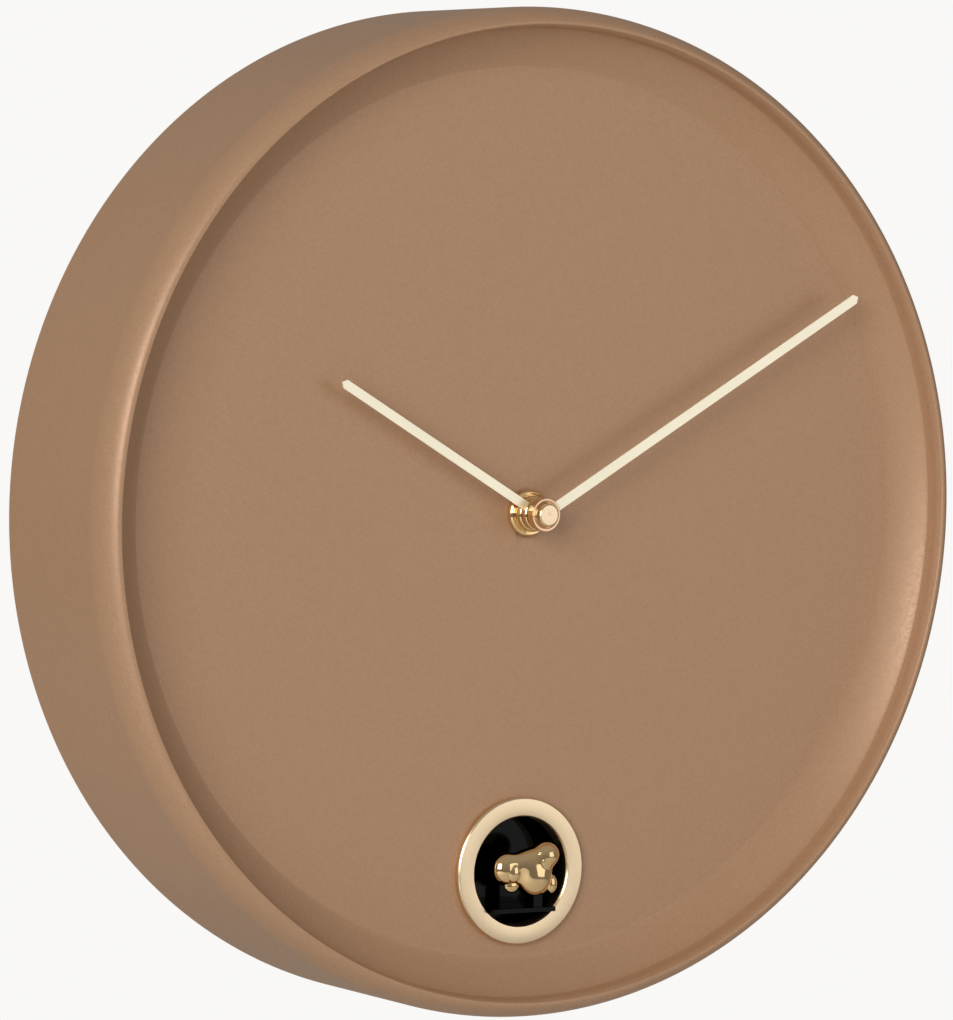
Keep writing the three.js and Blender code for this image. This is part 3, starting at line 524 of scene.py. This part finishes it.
@dataclass
class CaseMoulding:
    """Dial, cove, rim and side wall: one sprayed surface in front, with bosses behind."""

    radius: float = 150.0 * MM
    crest_y: float = -58.5 * MM
    dial_y: float = -44.2 * MM
    dial_radius: float = 132.4 * MM
    lip_radius: float = 143.7 * MM
    crest_radius: float = 145.3 * MM
    crown_depth: float = 10.0 * MM
    crown_power: float = 1.7
    cove_power: float = 1.2
    crease_y: float = -52.3 * MM
    lip_round: float = 1.2 * MM
    rear_break: float = 0.15 * MM
    wall: float = 2.5 * MM
    shaft_hole: float = 3.95 * MM
    window_hole: float = 17.4 * MM
    boss_ring: float = 128.0 * MM
    boss_radius: float = 4.0 * MM
    boss_bore: float = 1.4 * MM
    boss_end_y: float = -6.05 * MM
    bosses: int = 6
    dial_rows: int = 26

    def window_z(self) -> float:
        """Height of the window's middle, taken from the ring around it."""
        low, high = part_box("trim_ring")
        return (low.z + high.z) / 2

    def front_outline(self) -> Array:
        """Radius and y from the foot of the cove over the rim to the rear edge.

        Returns:
            The cove ellipse, the lip, the round crest and the straight side.
        """
        cove = ellipse((self.dial_radius, self.crease_y),
                       (self.lip_radius - self.dial_radius, self.dial_y - self.crease_y),
                       (90.0, 0.0), 20, self.cove_power)
        lip = rounded_run([
            (self.lip_radius, self.crease_y), (self.lip_radius + 0.1 * MM, self.crest_y + 2 * MM),
            (self.crest_radius - 0.7 * MM, self.crest_y), (self.crest_radius, self.crest_y),
        ], self.lip_round)
        crown_foot = self.crest_y + self.crown_depth
        crown = ellipse((self.crest_radius, crown_foot),
                        (self.radius - self.crest_radius, self.crown_depth),
                        (-90.0, 0.0), 20, self.crown_power)
        side = np.stack([np.full(6, self.radius),
                         np.linspace(crown_foot + 2 * MM, -self.rear_break, 6)], axis=1)
        return np.concatenate([cove, lip[1:-1], crown, side, [(self.radius - self.rear_break, 0.0)]])

    def back_outline(self) -> Array:
        """Radius and y from the rear edge along the inside to the foot of the cove.

        Returns:
            The inner wall, one wall thickness behind the front surface.
        """
        inner = self.radius - self.wall
        cove = ellipse((self.dial_radius, self.crease_y),
                       (self.lip_radius - self.dial_radius + self.wall,
                        self.dial_y - self.crease_y + self.wall), (0.0, 90.0), 8)
        behind_rim = [(inner, 0.0), (inner, self.crest_y + 9 * MM),
                      (self.crest_radius + 0.9 * MM, self.crest_y + 3.4 * MM),
                      (self.lip_radius + self.wall, self.crest_y + 4.2 * MM)]
        return np.concatenate([behind_rim, cove])

    def dial_disc(self, y: float, rows: int, sign: float) -> Array:
        """Rows of points that spread from the window's edge to the foot of the cove.

        Each row is (1 - s) times the window circle plus s times the dial circle, with s
        rising evenly from 0 to 1, so the flat dial closes round the off-centre window.

        Args:
            y: height of the flat.
            rows: number of rows.
            sign: 1 from the window outwards, -1 from the rim inwards.

        Returns:
            An array of rows x columns x 3.
        """
        u = np.arange(ROUND_STEPS) * FULL_TURN / ROUND_STEPS
        s = np.linspace(0.0, 1.0, rows)[:, None]
        s = s if sign > 0 else 1.0 - s
        radius = (1 - s) * self.window_hole + s * self.dial_radius
        x = radius * np.cos(u)
        z = radius * np.sin(u) + (1 - s) * self.window_z()
        return np.stack([x, np.full_like(x, y), z], axis=-1)

    def shell(self) -> Object:
        """The moulding as one closed grid: dial, cove, rim, side, inside and back of the dial."""
        u = np.arange(ROUND_STEPS) * FULL_TURN / ROUND_STEPS
        outline = np.concatenate([self.front_outline(), self.back_outline()])
        radius = outline[:, 0:1]
        height = np.broadcast_to(outline[:, 1:2], (len(outline), ROUND_STEPS))
        around = np.stack([radius * np.cos(u), height, radius * np.sin(u)], axis=-1)
        rows = np.concatenate([self.dial_disc(self.dial_y, self.dial_rows, 1.0)[:-1], around,
                               self.dial_disc(self.dial_y + self.wall, 4, -1.0)[1:]])
        faces = grid_faces(len(rows), ROUND_STEPS, True, True)
        return piece_from("case_moulding", rows.reshape(-1, 3), faces, 28.0)

    def build(self) -> None:
        """Makes the moulding, and its screw bosses as pillars behind the dial."""
        front, rear = self.dial_y - 5 * MM, self.dial_y + 5 * MM
        drill = np.array([(0.0, front), (self.shaft_hole, front), (self.shaft_hole, rear), (0.0, rear)])
        moulding = cut_away(self.shell(), turned("shaft_drill", drill))
        stand_in(moulding, Finishes.CASE_PAINT, "front_shell", "dial_panel")
        angle = np.arange(self.bosses) * FULL_TURN / self.bosses
        root = self.dial_y + self.wall
        outline = rounded([(self.boss_bore, root), (self.boss_radius, root),
                           (self.boss_radius, self.boss_end_y), (self.boss_bore, self.boss_end_y)],
                          0.2 * MM)
        for number, turn in enumerate(angle.tolist(), start=1):
            axis = (self.boss_ring * math.cos(turn), self.boss_ring * math.sin(turn))
            added(turned(f"screw_boss_{number}", outline, axis, 32), Finishes.CASE_PAINT, "case")


@dataclass
class TrimRing:
    """Turned metal ring round the window, with a spigot into the dial's hole."""

    hole: float = 16.2 * MM
    outer: float = 22.1 * MM
    spigot: float = 17.2 * MM
    bevel: float = 0.45 * MM

    def build(self) -> None:
        """Makes the ring: a flat satin face between a fine outer edge and a wide inner bevel."""
        low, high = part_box("trim_ring")
        seat = CaseMoulding.dial_y - 0.05 * MM
        outline = rounded([
            (self.hole, low.y + 1.4 * self.bevel), (self.hole + 1.2 * self.bevel, low.y),
            (self.outer - self.bevel, low.y), (self.outer, low.y + self.bevel), (self.outer, seat),
            (self.spigot, seat), (self.spigot, high.y), (self.hole, high.y),
        ], 0.12 * MM)
        ring = turned("window_ring", outline, (0.0, (low.z + high.z) / 2), 160)
        stand_in(ring, Finishes.SATIN_GOLD, "trim_ring")


# ---------------------------------------------------------------- hands


@dataclass
class DialNut:
    """Plated nut that clamps the movement: a dished flange with a stepped collar."""

    bore: float = 3.95 * MM
    flange: float = 6.9 * MM
    collar: float = 5.4 * MM
    crown: float = 5.0 * MM
    shaft: float = 2.6 * MM

    def build(self) -> None:
        """Makes the nut from the dial's face to its crown."""
        low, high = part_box("dial_nut")
        outline = rounded([
            (self.bore, high.y), (self.flange - 0.25 * MM, high.y), (self.flange, high.y - 0.45 * MM),
            (self.flange, high.y - 1.65 * MM), (self.flange - 0.6 * MM, high.y - 2.25 * MM),
            (self.collar + 0.15 * MM, high.y - 2.05 * MM), (self.collar, low.y + 0.5 * MM),
            (self.crown, low.y), (self.shaft, low.y), (self.shaft, low.y + 1.4 * MM),
            (self.bore, low.y + 1.4 * MM),
        ], 0.22 * MM)
        stand_in(turned("plated_dial_nut", outline), Finishes.POLISHED_GOLD, "dial_nut")


@dataclass
class Hand:
    """Flat pressed hand: a strip with a house-shaped tip, riveted to a round hub."""

    node: str
    length: float
    width: float
    degrees: float
    strip_y: float
    hub: tuple[tuple[float, float], ...]
    thickness: float = 0.6 * MM
    inner: float = 2.6 * MM

    def outline(self) -> Array:
        """The strip's outline before it is turned: two sides, two slopes and a point."""
        half = self.width / 2
        slope = 0.9 * half
        return np.array([(-half, self.inner), (half, self.inner), (half, self.length - slope),
                         (0.0, self.length), (-half, self.length - slope)])

    def build(self) -> None:
        """Makes the strip and the hub; both stand for the hand's one CAD node."""
        points = rounded(self.outline().tolist(), 0.12 * MM, 3)
        back = self.strip_y + self.thickness
        strip = prism(f"{self.node}_strip", points, self.strip_y, back, self.degrees)
        # The strip's near-white colour is a painted highlight for the lamps' reflection.
        stand_in(strip, Finishes.HAND_GOLD, self.node)
        hub = turned(f"{self.node}_hub", rounded(self.hub, 0.16 * MM))
        stand_in(hub, Finishes.POLISHED_GOLD, self.node, slot="hand_gold")


# Radius and y round each hub, from the bore at its back to the bore at its front.
HOUR_HUB = ((2.45 * MM, -49.2 * MM), (4.7 * MM, -49.2 * MM), (5 * MM, -49.5 * MM), (5 * MM, -51.1 * MM),
            (4.7 * MM, -51.4 * MM), (2.45 * MM, -51.4 * MM))
MINUTE_HUB = ((1.5 * MM, -51.7 * MM), (4.5 * MM, -51.7 * MM), (4.85 * MM, -52.1 * MM),
              (4.85 * MM, -54.28 * MM), (1.5 * MM, -54.28 * MM))


@dataclass
class HandCap:
    """Turned cap on the minute shaft: a dished rose-gold disc with a bright rim and a boss."""

    disc: float = 4.95 * MM
    boss: float = 3.3 * MM
    shaft: float = 1.5 * MM

    def build(self) -> None:
        """Makes the disc and the boss as two turned pieces that share the CAD node."""
        low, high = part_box("hand_cap")
        disc = rounded([
            (self.shaft, high.y), (self.disc, high.y), (self.disc, high.y - 0.66 * MM),
            (self.disc - 0.15 * MM, high.y - 0.75 * MM), (self.disc - 0.7 * MM, high.y - 0.72 * MM),
            (self.boss - 0.1 * MM, high.y - 0.3 * MM), (self.shaft, high.y - 0.3 * MM),
        ], 0.1 * MM)
        stand_in(turned("hand_cap_disc", disc), Finishes.ROSE_GOLD, "hand_cap", slot="satin_gold")
        inside, seat, axis = high.y - 1.15 * MM, high.y - 0.2 * MM, 0.02 * MM
        boss = rounded([
            (axis, inside), (self.shaft, inside), (self.shaft, seat), (self.boss, seat),
            (self.boss, low.y + 0.3 * MM), (self.boss - 0.3 * MM, low.y), (axis, low.y),
        ], 0.14 * MM)
        stand_in(turned("hand_cap_boss", closed_at_axis(boss)), Finishes.SATIN_GOLD, "hand_cap")


def closed_at_axis(outline: Array) -> Array:
    """Moves the points nearest the axis onto it, so that the turned piece closes there.

    Args:
        outline: closed outline of radius and y.

    Returns:
        The outline, with each radius under a twentieth of a millimetre set to 0.
    """
    radius = np.where(outline[:, 0] < 0.05 * MM, 0.0, outline[:, 0])
    return np.stack([radius, outline[:, 1]], axis=1)


# ---------------------------------------------------------------- window


@dataclass(frozen=True)
class Lump:
    """One rounded lump of the bird, as its middle and half sizes in millimetres."""

    at: tuple[float, float, float]
    size: tuple[float, float, float]


@dataclass
class Casting:
    """A smooth solid that blends rounded lumps, cut flat below."""

    name: str
    centre: tuple[float, float, float]
    lumps: tuple[Lump, ...]
    floor: float
    sharpness: float = 0.2
    reach: float = 14.0
    rows: int = 150
    columns: int = 240

    def field(self, points: Array) -> Array:
        """Positive inside: the soft maximum of 1 minus each lump's scaled distance.

        The soft maximum is s log(sum of exp(v / s)), where s is the sharpness, so that
        neighbouring lumps flow into each other.

        Args:
            points: array of x, y, z in millimetres.

        Returns:
            The field at each point.
        """
        total = np.zeros(points.shape[:-1])
        for lump in self.lumps:
            scaled = (points - np.array(lump.at)) / np.array(lump.size)
            total = total + np.exp((1.0 - np.linalg.norm(scaled, axis=-1)) / self.sharpness)
        return np.log(total + 1e-300) * self.sharpness

    def piece(self) -> Object:
        """The surface: for each direction from the centre, the distance where the field is 0.

        Directions run over a sphere in polar angle and azimuth; the zero is found by halving
        the interval for all directions at once.

        Returns:
            The closed surface.
        """
        polar = np.linspace(0.0, math.pi, self.rows)[:, None]
        around = (np.arange(self.columns) * FULL_TURN / self.columns)[None, :]
        ray = np.stack([np.sin(polar) * np.cos(around), np.sin(polar) * np.sin(around),
                        np.cos(polar) * np.ones_like(around)], axis=-1)
        near = np.zeros(ray.shape[:-1])
        far = np.full(ray.shape[:-1], self.reach)
        for _ in range(34):
            middle = (near + far) / 2
            inside = self.field(np.array(self.centre) + ray * middle[..., None]) > 0
            near, far = np.where(inside, middle, near), np.where(inside, far, middle)
        points = (np.array(self.centre) + ray * near[..., None]) * MM
        points[..., 2] = np.maximum(points[..., 2], self.floor)
        return piece_from(self.name, points.reshape(-1, 3),
                          grid_faces(self.rows, self.columns, False, True), 60.0)


@dataclass
class Bird:
    """Small plated bird: one casting of body, head, back and rump, with wings and a beak on it."""

    centre: tuple[float, float, float] = (2.2, -47.4, -106.6)
    lumps: tuple[Lump, ...] = (
        Lump((3.5, -47.3, -108.3), (6.0, 4.6, 6.4)),
        Lump((6.5, -48.9, -101.9), (4.4, 3.9, 3.9)),
        Lump((-5.7, -46.4, -106.0), (4.7, 3.5, 4.9)),
        Lump((1.4, -47.2, -104.3), (5.0, 3.9, 4.0)),
    )
    near_wing: Lump = Lump((-4.4, -48.5, -106.8), (2.7, 1.9, 3.3))
    near_tip: Lump = Lump((-3.8, -47.0, -110.9), (2.6, 1.2, 2.3))
    far_wing: Lump = Lump((10.3, -46.8, -111.0), (2.0, 1.4, 2.9))
    beak: Lump = Lump((4.2, -51.9, -103.2), (0.9, 0.9, 0.6))
    left_eye: Lump = Lump((3.1, -51.2, -101.0), (0.5, 0.5, 0.5))
    right_eye: Lump = Lump((7.0, -52.4, -101.2), (0.5, 0.4, 0.5))

    def build(self) -> None:
        """Makes the casting and its small parts, which share the bird's CAD node."""
        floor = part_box("bird")[0].z
        casting = Casting("gold_bird", self.centre, self.lumps, floor)
        stand_in(casting.piece(), Finishes.POLISHED_GOLD, "bird")
        small = {"near_wing": self.near_wing, "near_wing_tip": self.near_tip, "far_wing": self.far_wing,
                 "beak": self.beak, "left_eye": self.left_eye, "right_eye": self.right_eye}
        for name, lump in small.items():
            part = Casting(f"bird_{name}", lump.at, (lump,), floor, rows=48, columns=64)
            stand_in(part.piece(), Finishes.POLISHED_GOLD, "bird")


@dataclass
class WindowTunnel:
    """Glossy tunnel behind the window, closed at the rear and slotted for the tray's tab."""

    inner: float = 16.8 * MM
    outer: float = 18.3 * MM
    flange: float = 20.5 * MM
    flange_y: float = -40.2 * MM
    wall: float = 1.5 * MM
    slot: float = 4.0 * MM
    slot_end_y: float = -23.0 * MM

    def build(self) -> None:
        """Makes the tunnel with one flange and one closed end, and cuts the slot."""
        low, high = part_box("window_sleeve")
        outline = rounded([
            (self.inner, low.y), (self.flange, low.y), (self.flange, self.flange_y),
            (self.outer, self.flange_y), (self.outer, high.y), (0.0, high.y),
            (0.0, high.y - self.wall), (self.inner, high.y - self.wall),
        ], 0.2 * MM)
        axis = (0.0, CaseMoulding().window_z())
        tunnel = turned("gloss_tunnel", closed_at_axis(outline), axis, 192)
        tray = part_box("bird_tray")
        slot = block("slot_cutter", (-self.slot / 2, tray[1].y, axis[1]),
                     (self.slot / 2, self.slot_end_y, axis[1] + 2 * self.outer))
        cut_away(tunnel, slot)
        stand_in(tunnel, Finishes.BLACK_GLOSS, "window_sleeve")


def block(name: str, low: Sequence[float], high: Sequence[float]) -> Object:
    """A box between two corners.

    Args:
        name: the piece's name.
        low: smallest x, y and z.
        high: largest x, y and z.

    Returns:
        The box.
    """
    corners = np.array([(low[0], low[2]), (high[0], low[2]), (high[0], high[2]), (low[0], high[2])])
    return prism(name, corners, low[1], high[1], 0.0, 0.01 * MM)


def cut_away(piece: Object, *cutters: Object) -> Object:
    """Cuts other pieces out of a piece and removes them.

    Args:
        piece: the piece to cut.
        cutters: closed pieces that mark what goes.

    Returns:
        The same piece, with its mesh cut.
    """
    for cutter in cutters:
        cut = piece.modifiers.new(cutter.name, "BOOLEAN")
        cut.operation, cut.solver, cut.object = "DIFFERENCE", "EXACT", cutter
    result = piece.evaluated_get(bpy.context.evaluated_depsgraph_get())
    shape = bpy.data.meshes.new_from_object(result)
    piece.modifiers.clear()
    piece.data = shape
    for cutter in cutters:
        bpy.data.objects.remove(cutter)
    return piece


# ---------------------------------------------------------------- studio


@dataclass(frozen=True)
class Lamp:
    """One soft square lamp: its power, its side in metres and where it hangs."""

    name: str
    watts: float
    size: float
    place: tuple[float, float, float]

    def hang(self) -> None:
        """Adds the lamp to the scene, facing the clock."""
        glow = bpy.data.lights.new(self.name, "AREA")
        glow.energy, glow.size = self.watts, self.size
        stand = bpy.data.objects.new(self.name, glow)
        stand.location = self.place
        sight = Vector((0.0, -0.03, 0.0)) - Vector(self.place)
        stand.rotation_euler = sight.to_track_quat("-Z", "Y").to_euler()
        stand.visible_camera = False
        bpy.context.scene.collection.objects.link(stand)


@dataclass
class Studio:
    """Pale floor, soft daylight from the left, and the camera."""

    yaw: float = 32.60
    pitch: float = 2.83
    roll: float = -1.41
    distance: float = 1555.93 * MM
    lens: float = 185.94
    aim_offset: tuple[float, float] = (22.58 * MM, -1.68 * MM)
    crest_y: float = -58.5 * MM
    floor_z: float = -0.7
    floor_half: float = 2.1
    lamps: tuple[Lamp, ...] = (
        Lamp("window_light", 39.0, 1.3, (-1.9, -1.5, 0.6)),
        Lamp("fill", 4.6, 1.2, (1.15, -1.75, 0.15)),
    )

    def view(self) -> Matrix:
        """Rotation whose rows are the camera's right, up and back directions.

        The dial's own axes are right = +X, up = +Z and out = -Y; roll, pitch and yaw turn
        them in that order.

        Returns:
            A 3 x 3 matrix from the clock's frame to the camera's.
        """
        yaw, pitch, roll = (math.radians(a) for a in (self.yaw, self.pitch, self.roll))
        about_up = Matrix(((math.cos(yaw), 0, math.sin(yaw)), (0, 1, 0),
                           (-math.sin(yaw), 0, math.cos(yaw))))
        about_right = Matrix(((1, 0, 0), (0, math.cos(pitch), -math.sin(pitch)),
                              (0, math.sin(pitch), math.cos(pitch))))
        about_sight = Matrix(((math.cos(roll), -math.sin(roll), 0),
                              (math.sin(roll), math.cos(roll), 0), (0, 0, 1)))
        dial_axes = Matrix(((1, 0, 0), (0, 0, 1), (0, -1, 0)))
        return about_sight @ about_right @ about_up @ dial_axes

    def camera(self) -> None:
        """Places the camera on its line of sight, at its distance from the rim's middle."""
        view = self.view()
        away = Vector((-self.aim_offset[0], -self.aim_offset[1], self.distance))
        place = view.transposed() @ away + Vector((0.0, self.crest_y, 0.0))
        lens = bpy.data.cameras.new("camera")
        lens.lens = self.lens
        lens.sensor_width = 36.0
        lens.sensor_fit = "AUTO"
        lens.clip_start, lens.clip_end = 0.05, 20.0
        camera = bpy.data.objects.new("camera", lens)
        camera.matrix_world = Matrix.Translation(place) @ view.transposed().to_4x4()
        bpy.context.scene.collection.objects.link(camera)
        bpy.context.scene.camera = camera

    def floor(self) -> None:
        """Lays a pale matt floor below the clock."""
        half = self.floor_half
        points = np.array([(-half, -half, self.floor_z), (half, -half, self.floor_z),
                           (half, half, self.floor_z), (-half, half, self.floor_z)])
        ground = piece_from("floor", points, np.array([(0, 1, 2, 3)]))
        ground.data.materials.append(Finish("matt_card", "#E9E8E5", 0.9, grain_mm=1.2).material())

    def world(self) -> None:
        """A near-white backdrop for the eye, and a dimmer one for the light it gives."""
        world = bpy.data.worlds.new("studio")
        world.use_nodes = True
        tree = world.node_tree
        tree.nodes.clear()
        seen = add_node(tree, "ShaderNodeBackground", inputs={
            "Color": linear("#F9F8F6"), "Strength": 1.0})
        height = add_node(tree, "ShaderNodeSeparateXYZ", inputs={
            0: add_node(tree, "ShaderNodeTexCoord").outputs["Generated"]})
        strength = add_node(tree, "ShaderNodeMapRange", inputs={
            "Value": height.outputs["Z"], FROM_MIN: -0.7, FROM_MAX: 0.7, TO_MIN: 0.14, TO_MAX: 0.39})
        given = add_node(tree, "ShaderNodeBackground", inputs={
            "Color": linear("#F4F1EC"), "Strength": strength.outputs[0]})
        eye = add_node(tree, "ShaderNodeLightPath")
        mix = add_node(tree, "ShaderNodeMixShader", inputs={
            0: eye.outputs["Is Camera Ray"], 1: given.outputs[0], 2: seen.outputs[0]})
        add_node(tree, "ShaderNodeOutputWorld", inputs={"Surface": mix.outputs[0]})
        bpy.context.scene.world = world

    def build(self) -> None:
        """Sets the view transform, backdrop, floor, lamps and camera."""
        bpy.context.scene.view_settings.view_transform = "Standard"
        self.world()
        self.floor()
        for lamp in self.lamps:
            lamp.hang()
        self.camera()


# ---------------------------------------------------------------- assembly


def dress_cad_nodes() -> None:
    """Gives every CAD node that still shows its slot's finish and softly broken edges."""
    slots = {part["node"]: part["material_slot"] for part in frame["record"]["subparts"]}
    for name, node in frame["nodes"].items():
        if not node.hide_render:
            Finishes[slots[name].upper()].on(node)
            soften(node)


def soften(node: Object) -> None:
    """Joins a CAD node's facets and breaks its sharp edges."""
    weld = node.modifiers.new("weld", "WELD")
    weld.merge_threshold = 1e-6
    edge = node.modifiers.new("edge", "BEVEL")
    edge.width, edge.segments = 0.08 * MM, 2
    edge.limit_method, edge.angle_limit = "ANGLE", math.radians(34)
    edge.use_clamp_overlap = True


def main() -> None:
    """Builds the clock and the studio, in order."""
    logging.basicConfig(level=logging.INFO, format="%(message)s")
    CaseMoulding().build()
    TrimRing().build()
    DialNut().build()
    Hand("hour_hand", 79 * MM, 2.8 * MM, -60.6, -50.6 * MM, HOUR_HUB).build()
    Hand("minute_hand", 131 * MM, 3 * MM, 59.6, -54.3 * MM, MINUTE_HUB).build()
    HandCap().build()
    Bird().build()
    WindowTunnel().build()
    dress_cad_nodes()
    Studio().build()


if __name__ == "__main__":
    main()
